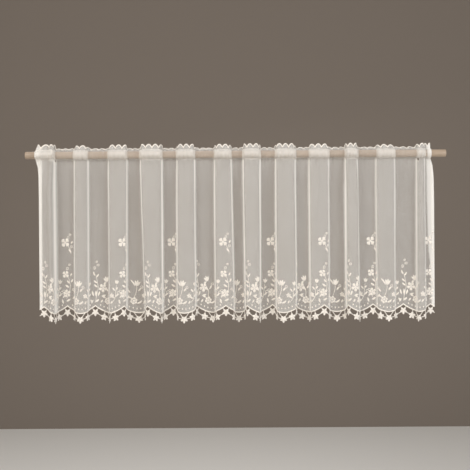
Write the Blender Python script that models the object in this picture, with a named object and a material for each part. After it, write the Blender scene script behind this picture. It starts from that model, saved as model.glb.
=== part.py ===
"""A sheer cafe curtain gathered on a round wooden rod.

Metres, +Z up. The origin is the middle of the rod's left end face. +X runs along the rod. -Y faces the room.

The cloth is described flat, by s along its width from the left edge and by h, the drop below the rod's axis.
It is then laid on its folds. The panel and the lace edging use the same folds, so their edges stay together.
"""

import math

import bmesh
import bpy
import numpy as np
from mathutils import Matrix
from mathutils.geometry import delaunay_2d_cdt

MM = 0.001

# Rod
ROD_LENGTH = 1.030
ROD_DIAMETER = 0.018
ROD_SIDES = 24

# Cloth, flat
REPEAT = 0.090  # width of one large scallop of the hem
COLUMNS_PER_REPEAT = 8
COLUMN = REPEAT / COLUMNS_PER_REPEAT
COLUMNS = 122
FLAT_WIDTH = COLUMNS * COLUMN
COLUMN_S = np.linspace(0.0, FLAT_WIDTH, COLUMNS + 1)
EDGE_STEPS = 4  # to one column, along the heading's edge
EDGE_S = np.linspace(0.0, FLAT_WIDTH, EDGE_STEPS * COLUMNS + 1)
FIRST_APEX = COLUMN  # the first point between two scallops, from the left edge
SHEET = 0.0012  # thickness of the net and of the lace

# Heights, as a drop below the rod's axis
SEAM_DROP = 0.0109  # the two seams that close the pocket, above and below the axis
APEX_DROP = 0.367  # the points between the hem's scallops
SCALLOP_DEPTH = 0.018
HEM_DROP = APEX_DROP + SCALLOP_DEPTH
SKIRT_ROWS = (0.035, 0.085)  # drops at which the skirt's section is set between the pocket and the hem

# Heading: a small scalloped frill that stands on the upper seam
HEADING_SCALLOP = 0.019
HEADING_VALLEY = 0.0107  # the first point between two of its scallops, from the left edge
HEADING_LOW = 0.0055
HEADING_RISE = 0.0095
LEAN_AT_FOLD = math.radians(6)
LEAN_BETWEEN_FOLDS = math.radians(60)
RIGHT_END_STANDS = 0.056  # over this much of its right end the heading stands up
LEFT_END_SLANT = 0.4  # how far the left end of the heading slants in, for one unit of its height

# Pocket, wrapped round the rod
POCKET_RADIUS = 0.01085  # middle of the cloth where it lies on the rod
POCKET_STEPS = 5  # flats from seam to seam, on each side of the rod
FRONT_BULGE = 0.012
BACK_BULGE = 0.008

# Folds, seen from above
CURTAIN_LEFT = 0.0245  # the curtain's left edge at the rod, from the rod's end
WIDTH_AT_ROD = 0.9690
ROD_LEFT_EDGE = 0.002
HEM_LEFT_EDGE = 0.0119
HEM_RIGHT_EDGE = 0.9785
EDGES_SETTLE_IN = 0.06  # share of the drop in which the side edges swing most of the way to their hem places
WALL = 0.009  # width in which the cloth turns from the back of a fold to its front
CROWN = 0.002
BACK_AT_SEAM = 0.005
BACK_BELOW = 0.009
SEAM_DEPTH_SHARE = 0.5
FULL_DEPTH_AT = 0.2  # share of the drop at which the folds reach their full depth
HEM_DEPTH_SHARE = 0.94
PLAN_STEPS = 8000
LEVELS = np.linspace(0.0, 1.2, 25)  # shares of the skirt's drop at which the folds are worked out
FINE_S = np.linspace(0.0, FLAT_WIDTH, 10 * COLUMNS + 1)
NORMAL_STEP = 0.0004

# One row for each fold that stands towards the room, in millimetres: its left and right edge at the rod, its
# left and right edge at the hem, all from the curtain's left edge at the rod, and its depth.
FOLDS = (
    (-20.0, 47.5, -20.0, 49.5, 26),
    (34.0, 48.5, 35.0, 50.3, 9),
    (95.0, 128.7, 94.0, 127.5, 14),
    (179.0, 224.4, 179.0, 221.9, 18),
    (257.5, 310.2, 267.3, 310.2, 27.6),
    (347.0, 389.9, 345.7, 391.1, 22.5),
    (438.9, 479.4, 438.9, 485.5, 18.8),
    (508.8, 550.5, 512.5, 549.2, 28),
    (588.5, 636.3, 588.5, 637.5, 25),
    (670.6, 718.4, 671.8, 718.4, 16),
    (758.9, 788.3, 760.1, 792.0, 27),
    (834.9, 880.3, 836.1, 880.3, 10),
    (934.0, 953.5, 933.0, 955.0, 15),
)

# Lace edging: star flowers on bars below a satin cord, in millimetres from the apex of their scallop
SEAM_GAP = 0.0007  # between the net's cut edge and the cord, straight down
CORD_WIDTH = 0.003
SLOPE_REACH = 0.0005
MOST_STEEP = 1.3  # the cord's width straight down stays within this many cord widths
BAR_STEP = 0.25
BAR_WIDTH = 0.0018
STAR_TIP = 9.6
STAR_SHOULDER = 7.4
STAR_NOTCH = 3.8
SHOULDER_ANGLE = math.radians(19)
# One row for each star of a repeat: its place along the hem, its drop below the apex, the angle of one tip,
# and the angles of its bars up to the cord.
STARS = (
    (0.0, 19.0, 54, (54, 126)),
    (22.5, 30.5, 81, (81,)),
    (45.0, 36.0, 54, (54, 126)),
    (67.5, 30.5, 99, (99,)),
)

# Flat outlines are joined in millimetres
NEAR = 1e-4
WHOLE_HULL = 0  # the join returns triangles over the whole hull, each with the outlines that cover it
FLAT_ANGLE = math.radians(1)


def smooth(t):
    t = np.clip(t, 0.0, 1.0)
    return t * t * (3.0 - 2.0 * t)


def mix(a, b, t):
    return a + (b - a) * t


def fold_edges(t):
    """Edges and depths of the folds at a share t of the drop from the lower seam to the hem."""
    table = np.array(FOLDS) * MM
    left = mix(table[:, 0], table[:, 2], t)
    right = mix(table[:, 1], table[:, 3], t)
    depth = table[:, 4] * mix(SEAM_DEPTH_SHARE, 1.0, smooth(t / FULL_DEPTH_AT))
    depth = depth * mix(1.0, HEM_DEPTH_SHARE, smooth(2.0 * t - 1.0))
    return left, right, depth


def plan_curve(t):
    """The cloth from above at one level: points on it, the length run, and that length at each fold edge."""
    left, right, depth = fold_edges(t)
    swung = 1.0 - math.exp(-t / EDGES_SETTLE_IN)
    edges = (mix(ROD_LEFT_EDGE, HEM_LEFT_EDGE, swung), mix(WIDTH_AT_ROD, HEM_RIGHT_EDGE, swung))
    x = np.linspace(edges[0], edges[1], PLAN_STEPS)
    y = np.full_like(x, mix(BACK_AT_SEAM, BACK_BELOW, smooth(t / FULL_DEPTH_AT)))
    for fold_left, fold_right, fold_depth in zip(left, right, depth):
        rise = smooth((x - fold_left) / WALL + 0.5) - smooth((x - fold_right) / WALL + 0.5)
        across = np.clip((x - fold_left) / (fold_right - fold_left), 0.0, 1.0)
        y -= fold_depth * rise + CROWN * np.sin(math.pi * across)
    run = np.concatenate([[0.0], np.cumsum(np.hypot(np.diff(x), np.diff(y)))])
    marks = np.sort(np.concatenate([[edges[0]], left[1:], right, [edges[1]]]))
    return x, y, run, np.interp(marks, x, run)


def plan_table():
    """x and y of every fine point of the flat width at each level. A thread keeps its place in its fold."""
    reference = plan_curve(0.5)[3]
    flat_marks = reference * FLAT_WIDTH / reference[-1]
    rows_x, rows_y = [], []
    for t in LEVELS:
        x, y, run, marks = plan_curve(t)
        wanted = np.interp(FINE_S, flat_marks, marks)
        rows_x.append(np.interp(wanted, run, x))
        rows_y.append(np.interp(wanted, run, y))
    return np.array(rows_x) + CURTAIN_LEFT, np.array(rows_y)


PLAN_X, PLAN_Y = plan_table()


def fold_point(s, t):
    """x and y of the cloth at s along its flat width and at a share t of the drop."""
    s, t = np.broadcast_arrays(np.asarray(s, float), np.asarray(t, float))
    column = np.clip(s / (FINE_S[1] - FINE_S[0]), 0.0, len(FINE_S) - 1.001)
    level = np.clip(t / (LEVELS[1] - LEVELS[0]), 0.0, len(LEVELS) - 1.001)
    i, j = column.astype(int), level.astype(int)
    u, v = column - i, level - j
    found = []
    for plan in (PLAN_X, PLAN_Y):
        above = mix(plan[j, i], plan[j, i + 1], u)
        below = mix(plan[j + 1, i], plan[j + 1, i + 1], u)
        found.append(mix(above, below, v))
    return found


def forward_share(s):
    """0 where the cloth at the seam lies at the back, 1 where it stands fully towards the room."""
    y = fold_point(s, 0.0)[1]
    deepest = max(row[4] for row in FOLDS) * MM * SEAM_DEPTH_SHARE
    return np.clip((BACK_AT_SEAM - y) / deepest, 0.0, 1.0)


def skirt(s, h):
    x, y = fold_point(s, (h - SEAM_DROP) / (HEM_DROP - SEAM_DROP))
    return np.stack(np.broadcast_arrays(x, y, -np.asarray(h, float)), axis=-1)


def heading(s, rise):
    x, y = fold_point(s, 0.0)
    at_end = smooth((s - FLAT_WIDTH + RIGHT_END_STANDS) / 0.02)
    lean = mix(LEAN_BETWEEN_FOLDS, LEAN_AT_FOLD, np.maximum(smooth(forward_share(s)), at_end))
    inward = LEFT_END_SLANT * rise * (1.0 - smooth(s / HEADING_VALLEY))
    return np.stack([x + inward, y + rise * np.sin(lean), SEAM_DROP + rise * np.cos(lean)], axis=-1)


def pocket(s, f, side):
    """The pocket's room side (-1) or wall side (1), with f from 0 at the upper seam to 1 at the lower one."""
    x, y = fold_point(s, 0.0)
    start = np.arctan2(side * y, SEAM_DROP)
    angle = start + (math.pi - 2.0 * start) * f
    share = forward_share(s) if side < 0 else 1.0 - forward_share(s)
    bulge = (FRONT_BULGE if side < 0 else BACK_BULGE) * share * math.sin(math.pi * f) ** 1.5
    radius = mix(POCKET_RADIUS, np.hypot(y, SEAM_DROP), math.cos(math.pi * f) ** 4) + bulge
    return np.stack([x, side * radius * np.sin(angle), radius * np.cos(angle)], axis=-1)


def normals(surface, s, v):
    """Unit normals of a surface of s and a second value v, towards the room side of the skirt."""
    step = NORMAL_STEP
    along = surface(np.minimum(s + step, FLAT_WIDTH), v) - surface(np.maximum(s - step, 0.0), v)
    down = surface(s, v + step) - surface(s, v - step)
    normal = np.cross(down, along)
    return normal / np.linalg.norm(normal, axis=-1, keepdims=True)


def heading_rise(s):
    """Height of the heading's edge above the upper seam."""
    across = (s - HEADING_VALLEY) / HEADING_SCALLOP
    return HEADING_LOW + HEADING_RISE * np.abs(np.sin(math.pi * across)) ** 0.7


def hem_drop(s):
    """Drop of the large scallops: pointed where two meet, round at the bottom."""
    across = ((s - FIRST_APEX) / REPEAT) % 1.0
    return APEX_DROP + SCALLOP_DEPTH * (1.0 - np.abs(2.0 * across - 1.0) ** 1.8)


def add_points(mesh, points):
    return [mesh.verts.new(point) for point in points]


def strip(mesh, first, second, flip):
    """Triangles between two rows of points, cut along the same diagonals on both faces of the cloth."""
    for i in range(len(first) - 1):
        for corners in ([first[i], second[i], second[i + 1]], [first[i], second[i + 1], first[i + 1]]):
            mesh.faces.new(corners[::-1] if flip else corners)


def fan_strip(mesh, fine, coarse, flip):
    """Triangles between the heading's edge and the first row of columns below it."""
    for i in range(len(coarse) - 1):
        edge = fine[EDGE_STEPS * i : EDGE_STEPS * (i + 1) + 1]
        left, right = coarse[i], coarse[i + 1]
        middle = EDGE_STEPS // 2
        triangles = [[edge[middle], left, right]]
        for j in range(EDGE_STEPS):
            triangles.append([edge[j], left if j < middle else right, edge[j + 1]])
        for corners in triangles:
            mesh.faces.new(corners[::-1] if flip else corners)


def layer_rows(mesh, side, pocket_outer):
    """One face of the cloth from the heading's edge to the hem: its fine top row and its other rows."""

    def upward(s, drop):
        return heading(s, -drop)

    def row(surface, s, drop):
        drop = np.broadcast_to(drop, s.shape)
        return add_points(mesh, surface(s, drop) - side * SHEET / 2 * normals(surface, s, drop))

    top = row(upward, EDGE_S, -heading_rise(EDGE_S))
    rows = [row(upward, COLUMN_S, 0.0), *pocket_outer]
    for drop in (SEAM_DROP, *SKIRT_ROWS, hem_drop(COLUMN_S)):
        rows.append(row(skirt, COLUMN_S, drop))
    return top, rows


def pocket_rows(mesh, side):
    """Outer and inner rows of one side of the pocket, between its seams."""

    def surface(s, f):
        return pocket(s, f, side)

    outer, inner = [], []
    for step in range(1, POCKET_STEPS):
        f = step / POCKET_STEPS
        middle = surface(COLUMN_S, f)
        out = -side * normals(surface, COLUMN_S, f)
        outer.append(add_points(mesh, middle + out * SHEET / 2))
        inner.append(add_points(mesh, middle - out * SHEET / 2))
    return outer, inner


def seam_row(mesh, side):
    """The tunnel's own line just inside a seam, above the rod (1) or below it (-1)."""
    x, y = fold_point(COLUMN_S, 0.0)
    z = np.full_like(COLUMN_S, side * (SEAM_DROP - SHEET))
    return add_points(mesh, np.stack([x, y, z], axis=-1))


def close_end(mesh, at, front, back, tunnel_front, tunnel_back, flip):
    """The cut edge of the cloth at one end of the panel, open at the tunnel."""
    front_line, back_line = [row[at] for row in front[1]], [row[at] for row in back[1]]
    front_inside, back_inside = [row[at] for row in tunnel_front], [row[at] for row in tunnel_back]
    lower = POCKET_STEPS
    faces = [
        [front[0][at], back[0][at], back_line[0], front_line[0]],
        [front_line[0], back_line[0], front_inside[0]],
        [back_line[lower], front_line[lower], front_inside[lower]],
    ]
    for i in range(lower):
        faces.append([front_line[i], front_inside[i], front_inside[i + 1], front_line[i + 1]])
        faces.append([back_line[i], back_line[i + 1], back_inside[i + 1], back_inside[i]])
    for i in range(lower, len(front_line) - 1):
        faces.append([front_line[i], back_line[i], back_line[i + 1], front_line[i + 1]])
    for corners in faces:
        mesh.faces.new(corners[::-1] if flip else corners)


def build_panel():
    """The net: heading, pocket and skirt in one closed body, with a tunnel for the rod."""
    mesh = bmesh.new()
    front_outer, front_inner = pocket_rows(mesh, -1)
    back_outer, back_inner = pocket_rows(mesh, 1)
    front = layer_rows(mesh, -1, front_outer)
    back = layer_rows(mesh, 1, back_outer)
    upper, lower = seam_row(mesh, 1), seam_row(mesh, -1)
    tunnel_front = [upper, *front_inner, lower]
    tunnel_back = [upper, *back_inner, lower]

    for (top, rows), flip in ((front, False), (back, True)):
        fan_strip(mesh, top, rows[0], flip)
        for first, second in zip(rows, rows[1:]):
            strip(mesh, first, second, flip)
    for rows, flip in ((tunnel_front, True), (tunnel_back, False)):
        for first, second in zip(rows, rows[1:]):
            strip(mesh, first, second, flip)
    strip(mesh, back[0], front[0], False)
    strip(mesh, front[1][-1], back[1][-1], False)
    close_end(mesh, 0, front, back, tunnel_front, tunnel_back, False)
    close_end(mesh, -1, front, back, tunnel_front, tunnel_back, True)
    return mesh


def star_outline(s, z, tip_angle):
    """A five-petalled star flower, flat, in millimetres."""
    points = []
    petal = math.tau / 5
    for i in range(5):
        angle = math.radians(tip_angle) + i * petal
        for radius, turn in (
            (STAR_NOTCH, -petal / 2),
            (STAR_SHOULDER, -SHOULDER_ANGLE),
            (STAR_TIP, 0.0),
            (STAR_SHOULDER, SHOULDER_ANGLE),
        ):
            points.append((s + radius * math.cos(angle + turn), z + radius * math.sin(angle + turn)))
    return points


def bar_outline(start, end):
    """A straight bar of the lace's bar width, flat, in millimetres."""
    along = np.subtract(end, start)
    side = np.array([-along[1], along[0]]) / np.hypot(*along) * (BAR_WIDTH / MM) / 2
    return [tuple(start - side), tuple(end - side), tuple(end + side), tuple(start + side)]


def cord_line(s, share):
    """Height of the cord, in millimetres, from its upper edge (0) to its lower edge (1)."""
    reach = SLOPE_REACH / MM
    slope = (hem_drop((s + reach) * MM) - hem_drop((s - reach) * MM)) / (2 * SLOPE_REACH)
    steep = np.minimum(np.sqrt(1.0 + slope**2), MOST_STEEP)
    return -(hem_drop(s * MM) + SEAM_GAP + share * CORD_WIDTH * steep) / MM


def to_cord(start, degrees):
    """The point at which a line from start meets the middle of the cord."""
    direction = np.array([math.cos(math.radians(degrees)), math.sin(math.radians(degrees))])
    point = start
    while point[1] < cord_line(point[0], 0.6):
        point = point + direction * BAR_STEP
    return point


def edging_outlines():
    """Overlapping flat outlines of the whole edging: cord, stars and bars, in millimetres."""
    columns = np.arange(-COLUMNS_PER_REPEAT, COLUMNS + COLUMNS_PER_REPEAT + 1) * (COLUMN / MM)
    cord = [(s, cord_line(s, 1.0)) for s in columns]
    cord += [(s, cord_line(s, 0.0)) for s in columns[::-1]]
    outlines = [cord]
    centres = []
    for repeat in range(-1, COLUMNS // COLUMNS_PER_REPEAT + 1):
        apex = (FIRST_APEX + repeat * REPEAT) / MM
        for along, drop, tip_angle, to_the_cord in STARS:
            centre = np.array([apex + along, -APEX_DROP / MM - drop])
            centres.append(centre)
            outlines.append(star_outline(*centre, tip_angle))
            for degrees in to_the_cord:
                outlines.append(bar_outline(centre, to_cord(centre, degrees)))
    for first, second in zip(centres, centres[1:]):
        outlines.append(bar_outline(first, second))
    return outlines


def flat_edging():
    """The edging as one flat mesh with its gaps open, cut to the panel's width and along its columns."""
    points, faces = [], []
    for outline in edging_outlines():
        faces.append(list(range(len(points), len(points) + len(outline))))
        points += outline
    verts, _, triangles, _, _, covering = delaunay_2d_cdt(points, [], faces, WHOLE_HULL, NEAR)
    mesh = bmesh.new()
    made = add_points(mesh, [(v[0], v[1], 0.0) for v in verts])
    for triangle, sources in zip(triangles, covering):
        if sources:
            mesh.faces.new([made[i] for i in triangle])
    loose = [v for v in mesh.verts if not v.link_faces]
    bmesh.ops.delete(mesh, geom=loose, context="VERTS")
    bmesh.ops.dissolve_limit(mesh, angle_limit=FLAT_ANGLE, verts=mesh.verts[:], edges=mesh.edges[:])
    for column, s in enumerate(COLUMN_S):
        bmesh.ops.bisect_plane(
            mesh,
            geom=mesh.verts[:] + mesh.edges[:] + mesh.faces[:],
            dist=NEAR,
            plane_co=(s / MM, 0.0, 0.0),
            plane_no=(1.0, 0.0, 0.0),
            clear_inner=column == 0,
            clear_outer=column == COLUMNS,
        )
    bmesh.ops.triangulate(mesh, faces=mesh.faces[:])
    mesh.verts.index_update()
    return mesh


def build_edging():
    """The lace edging: its flat mesh laid on the folds and given the sheet's thickness."""
    flat = flat_edging()
    s = np.array([v.co.x for v in flat.verts]) * MM
    h = np.array([-v.co.y for v in flat.verts]) * MM
    middle, out = skirt(s, h), normals(skirt, s, h)
    mesh = bmesh.new()
    front = add_points(mesh, middle + out * SHEET / 2)
    back = add_points(mesh, middle - out * SHEET / 2)
    for face in flat.faces:
        corners = [v.index for v in face.verts]
        mesh.faces.new([front[i] for i in corners])
        mesh.faces.new([back[i] for i in corners[::-1]])
        for loop in face.loops:
            if loop.edge.is_boundary:
                a, b = loop.vert.index, loop.link_loop_next.vert.index
                mesh.faces.new([front[a], back[a], back[b], front[b]])
    flat.free()
    return mesh


def material(name, colour, roughness):
    made = bpy.data.materials.new(name)
    made.use_nodes = True
    shader = made.node_tree.nodes["Principled BSDF"]
    shader.inputs["Base Color"].default_value = (*colour, 1.0)
    shader.inputs["Roughness"].default_value = roughness
    shader.inputs["Metallic"].default_value = 0.0
    return made


def add_object(name, mesh, collection, surface):
    data = bpy.data.meshes.new(name)
    mesh.to_mesh(data)
    mesh.free()
    data.materials.append(surface)
    made = bpy.data.objects.new(name, data)
    collection.objects.link(made)
    return made


def build_rod(collection, surface):
    mesh = bmesh.new()
    bmesh.ops.create_cone(
        mesh,
        cap_ends=True,
        segments=ROD_SIDES,
        radius1=ROD_DIAMETER / 2,
        radius2=ROD_DIAMETER / 2,
        depth=ROD_LENGTH,
        matrix=Matrix.Rotation(math.radians(90), 4, "Y"),
    )
    rod = add_object("rod", mesh, collection, surface)
    rod.location = (ROD_LENGTH / 2, 0.0, 0.0)
    rod.data.shade_smooth()
    rod.data.set_sharp_from_angle(angle=math.radians(40))
    return rod


def main():
    for old in list(bpy.data.objects):
        bpy.data.objects.remove(old, do_unlink=True)
    collection = bpy.data.collections.new("cafe curtain")
    bpy.context.scene.collection.children.link(collection)
    build_rod(collection, material("wood", (0.62, 0.47, 0.31), 0.55))
    net = add_object("panel", build_panel(), collection, material("net", (0.90, 0.87, 0.83), 0.9))
    lace = add_object("lace_edging", build_edging(), collection, material("lace", (0.93, 0.89, 0.83), 0.85))
    for cloth in (net, lace):
        cloth.data.shade_smooth()


main()
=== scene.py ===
"""Looks of a sheer cafe curtain on its rod: net, embroidery, lace edging and wood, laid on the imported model.

Metres, +Z up, +X along the rod, -Y towards the room. The cloth is described flat, by s along its width and h,
the drop below the rod's axis, and laid on the same folds as the model.
"""

import math

import bpy
import numpy as np
from mathutils import Matrix, Vector


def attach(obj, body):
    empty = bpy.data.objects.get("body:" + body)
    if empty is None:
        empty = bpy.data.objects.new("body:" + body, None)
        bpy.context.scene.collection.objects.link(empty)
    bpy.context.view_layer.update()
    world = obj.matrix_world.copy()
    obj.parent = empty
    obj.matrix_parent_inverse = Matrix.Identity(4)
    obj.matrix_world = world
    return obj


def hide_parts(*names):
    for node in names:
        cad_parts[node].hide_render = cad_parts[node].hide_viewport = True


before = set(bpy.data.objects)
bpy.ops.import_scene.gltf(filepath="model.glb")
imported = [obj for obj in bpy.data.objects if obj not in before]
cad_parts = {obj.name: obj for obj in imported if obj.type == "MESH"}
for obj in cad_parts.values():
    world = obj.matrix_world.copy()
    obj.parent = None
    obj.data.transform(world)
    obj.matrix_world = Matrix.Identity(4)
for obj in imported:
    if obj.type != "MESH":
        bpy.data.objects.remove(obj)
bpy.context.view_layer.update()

MM = 0.001

# Rod
ROD_LENGTH = 1.030
ROD_RADIUS = 0.009

# Cloth, flat
REPEAT = 0.090  # width of one large scallop of the hem
COLUMNS_PER_REPEAT = 8
COLUMN = REPEAT / COLUMNS_PER_REPEAT
COLUMNS = 122
FLAT_WIDTH = COLUMNS * COLUMN
FIRST_APEX = COLUMN
SEAM_DROP = 0.0109
APEX_DROP = 0.367
SCALLOP_DEPTH = 0.018
HEM_DROP = APEX_DROP + SCALLOP_DEPTH

# Heading: a small scalloped frill on the upper seam
HEADING_SCALLOP = 0.019
HEADING_VALLEY = 0.0107  # the first point between two of its scallops, from the left edge
HEADING_LOW = 0.0055
HEADING_RISE = 0.0095
LEAN_AT_FOLD = math.radians(6)
LEAN_BETWEEN_FOLDS = math.radians(60)
LEFT_END_SLANT = 0.4  # how far its left end slants in, for one unit of its height
RIGHT_END_STANDS = 0.056  # over this much of its right end the heading stands up
STANDS_UP_WITHIN = 0.02  # the length over which its lean changes there

# Pocket
POCKET_RADIUS = 0.01085
FRONT_BULGE = 0.012
BACK_BULGE = 0.008

# Folds
CURTAIN_LEFT = 0.0245  # x from which the places in FOLDS, TEARDROPS and BANDS are counted
WIDTH_AT_ROD = 0.9690
ROD_LEFT_EDGE = 0.002
HEM_LEFT_EDGE = 0.0119
HEM_RIGHT_EDGE = 0.9785
EDGES_SETTLE_IN = 0.06
WALL = 0.009
CROWN = 0.002
BACK_AT_SEAM = 0.005
BACK_BELOW = 0.009
SEAM_DEPTH_SHARE = 0.5
FULL_DEPTH_AT = 0.2
HEM_DEPTH_SHARE = 0.94
PLAN_STEPS = 8000
LEVELS = np.linspace(0.0, 1.2, 25)
FINE_S = np.linspace(0.0, FLAT_WIDTH, 10 * COLUMNS + 1)
NORMAL_STEP = 0.0004

# One row for each fold, in millimetres: its left and right edge at the rod, its left and right edge at
# the hem, and its depth. The depths are fitted, not measured: they put the hem's points near their places.
FOLDS = (
    (-20.0, 47.5, -20.0, 49.5, 26),
    (34.0, 48.5, 35.0, 50.3, 9),
    (95.0, 128.7, 94.0, 127.5, 14),
    (179.0, 224.4, 179.0, 221.9, 18),
    (257.5, 310.2, 267.3, 310.2, 27.6),
    (347.0, 389.9, 345.7, 391.1, 22.5),
    (438.9, 479.4, 438.9, 485.5, 18.8),
    (508.8, 550.5, 512.5, 549.2, 28),
    (588.5, 636.3, 588.5, 637.5, 25),
    (670.6, 718.4, 671.8, 718.4, 16),
    (758.9, 788.3, 760.1, 792.0, 27),
    (834.9, 880.3, 836.1, 880.3, 10),
    (934.0, 953.5, 933.0, 955.0, 15),
)

# Soft creases of the skirt: place along the flat width, drops where each starts and ends,
# half width and height towards the room (below zero, a trough), in millimetres
CREASES = (
    (30, 12, 230, 5, 0.9),
    (78, 12, 150, 7, -1.1),
    (112, 60, 380, 9, 0.8),
    (150, 12, 210, 6, 1.0),
    (196, 12, 380, 8, -0.9),
    (232, 12, 120, 5, 1.2),
    (262, 90, 380, 9, 0.9),
    (301, 12, 260, 6, -1.0),
    (338, 12, 180, 5, 1.0),
    (402, 12, 380, 8, 0.9),
    (441, 12, 140, 6, -1.2),
    (468, 12, 300, 7, 0.8),
    (521, 12, 200, 5, 1.1),
    (560, 70, 380, 9, -0.8),
    (604, 12, 240, 6, 0.9),
    (648, 12, 130, 6, -1.1),
    (689, 12, 380, 8, 0.8),
    (731, 12, 220, 5, 1.1),
    (772, 12, 170, 6, -1.0),
    (815, 80, 380, 9, 0.9),
    (858, 12, 260, 6, 1.0),
    (903, 12, 150, 5, -1.2),
    (948, 12, 380, 8, 0.8),
    (985, 12, 200, 6, 1.0),
    (1036, 12, 140, 5, -1.1),
    (1071, 60, 380, 9, 0.9),
    (1118, 12, 230, 6, 1.0),
    (1156, 12, 170, 6, -1.0),
    (1204, 12, 380, 8, 0.8),
    (1247, 12, 210, 5, 1.1),
    (1289, 12, 150, 6, -0.9),
    (1331, 12, 300, 7, 0.9),
)

# Net, as laid on the folds
COLUMNS_FINE = 6  # to one column of the model
SIDE_HEM = 0.008  # each side edge is turned back by this much
HEM_LAYER_GAP = 0.0009
LEFT_BAND = (0.0110, 0.0190)  # from CURTAIN_LEFT, the closed band of the left hem
# Small teardrop gaps below the seam, on the walls of two folds: place from CURTAIN_LEFT, half width and half
# height on the flat cloth, and drop of the middle below the seam, in millimetres
TEARDROPS = (
    (48.6, 5.0, 3.6, 2.6),
    (937.5, 4.2, 4.6, 2.8),
)
# Where the closed band of the right hem starts: share of the drop, and place from CURTAIN_LEFT in
# millimetres
BANDS = (
    (0.0, 959.0),
    (0.1, 960.0),
    (0.5, 962.5),
    (0.62, 964.5),
    (0.72, 968.0),
    (1.0, 971.0),
)
HEADING_FLAT = HEADING_LOW + HEADING_RISE
POCKET_FLAT = 0.034
HEADING_ROWS = 6
POCKET_ROWS = 12
SKIRT_ROWS = 78
TUCK_INTO_CORD = 0.0016  # the net runs this far under the satin cord
WEAVE_PITCH = 0.00072
NARROW_PUCKER = 0.0113  # widths of the uneven gathers along the seams
WIDE_PUCKER = 0.0197
PUCKER_HEIGHT = 0.00045
WALL_LINE = 0.0023  # half width over which a fold's wall looks closed
RIDGE_DEPTH = 0.0095  # a fold no deeper than this has no such line on its left

# How closed the net looks in places. Below zero its threads are thinner.
WALL_CLOSED = 0.95
BACK_THINNER = -0.16
THIN_OVER_ROD = -0.40
CLOSED_IN_PUFFS = 0.46
HEADING_CLOSED = 0.12
POCKET_BACK_CLOSED = 0.2
TURNED_CLOSED = 0.35
LEFT_CLOSED = 0.62
RIGHT_CLOSED = 0.70

# Running stitches of the seams
STITCH_LENGTH = 0.0026
STITCH_GAP = 0.0012
STITCH_FROM_SEAM = 0.0006
STITCH_HALF_WIDTH = 0.0003
STITCH_HALF_HEIGHTS = (0.0001, 0.0003, 0.0003, 0.0001)
STITCH_LIFT = 0.0003

# Lace edging
SEAM_GAP = 0.0007
CORD_WIDTH = 0.003
SLOPE_REACH = 0.0005
MOST_STEEP = 1.3  # the cord's width straight down stays within this many cord widths
BAR_HALF_WIDTH = 0.0009
BAR_HALF_HEIGHT = 0.0006
# One row for each star of a repeat: its place along the hem and its drop below the apex, in millimetres, the
# angle of one tip, and the angles of its bars up to the cord
STARS = (
    (0.0, 19.0, 54, (54, 126)),
    (22.5, 30.5, 81, (81,)),
    (45.0, 36.0, 54, (54, 126)),
    (67.5, 30.5, 99, (99,)),
)


def smooth(t):
    t = np.clip(t, 0.0, 1.0)
    return t * t * (3.0 - 2.0 * t)


def mix(a, b, t):
    return a + (b - a) * t


def fold_edges(t):
    table = np.array(FOLDS) * MM
    left = mix(table[:, 0], table[:, 2], t)
    right = mix(table[:, 1], table[:, 3], t)
    depth = table[:, 4] * mix(SEAM_DEPTH_SHARE, 1.0, smooth(t / FULL_DEPTH_AT))
    depth = depth * mix(1.0, HEM_DEPTH_SHARE, smooth(2.0 * t - 1.0))
    return left, right, depth


def plan_curve(t):
    left, right, depth = fold_edges(t)
    swung = 1.0 - math.exp(-t / EDGES_SETTLE_IN)
    edges = (mix(ROD_LEFT_EDGE, HEM_LEFT_EDGE, swung), mix(WIDTH_AT_ROD, HEM_RIGHT_EDGE, swung))
    x = np.linspace(edges[0], edges[1], PLAN_STEPS)
    y = np.full_like(x, mix(BACK_AT_SEAM, BACK_BELOW, smooth(t / FULL_DEPTH_AT)))
    for fold_left, fold_right, fold_depth in zip(left, right, depth):
        rise = smooth((x - fold_left) / WALL + 0.5) - smooth((x - fold_right) / WALL + 0.5)
        across = np.clip((x - fold_left) / (fold_right - fold_left), 0.0, 1.0)
        y -= fold_depth * rise + CROWN * np.sin(math.pi * across)
    run = np.concatenate([[0.0], np.cumsum(np.hypot(np.diff(x), np.diff(y)))])
    marks = np.sort(np.concatenate([[edges[0]], left[1:], right, [edges[1]]]))
    return x, y, run, np.interp(marks, x, run)


def plan_table():
    reference = plan_curve(0.5)[3]
    flat_marks = reference * FLAT_WIDTH / reference[-1]
    rows_x, rows_y = [], []
    for t in LEVELS:
        x, y, run, marks = plan_curve(t)
        wanted = np.interp(FINE_S, flat_marks, marks)
        rows_x.append(np.interp(wanted, run, x))
        rows_y.append(np.interp(wanted, run, y))
    return np.array(rows_x) + CURTAIN_LEFT, np.array(rows_y)


PLAN_X, PLAN_Y = plan_table()


def fold_point(s, t):
    s, t = np.broadcast_arrays(np.asarray(s, float), np.asarray(t, float))
    column = np.clip(s / (FINE_S[1] - FINE_S[0]), 0.0, len(FINE_S) - 1.001)
    level = np.clip(t / (LEVELS[1] - LEVELS[0]), 0.0, len(LEVELS) - 1.001)
    i, j = column.astype(int), level.astype(int)
    u, v = column - i, level - j
    found = []
    for plan in (PLAN_X, PLAN_Y):
        above = mix(plan[j, i], plan[j, i + 1], u)
        below = mix(plan[j + 1, i], plan[j + 1, i + 1], u)
        found.append(mix(above, below, v))
    return found


def drop_share(h):
    return (h - SEAM_DROP) / (HEM_DROP - SEAM_DROP)


def forward_share(s):
    y = fold_point(s, 0.0)[1]
    deepest = max(row[4] for row in FOLDS) * MM * SEAM_DEPTH_SHARE
    return np.clip((BACK_AT_SEAM - y) / deepest, 0.0, 1.0)


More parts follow.
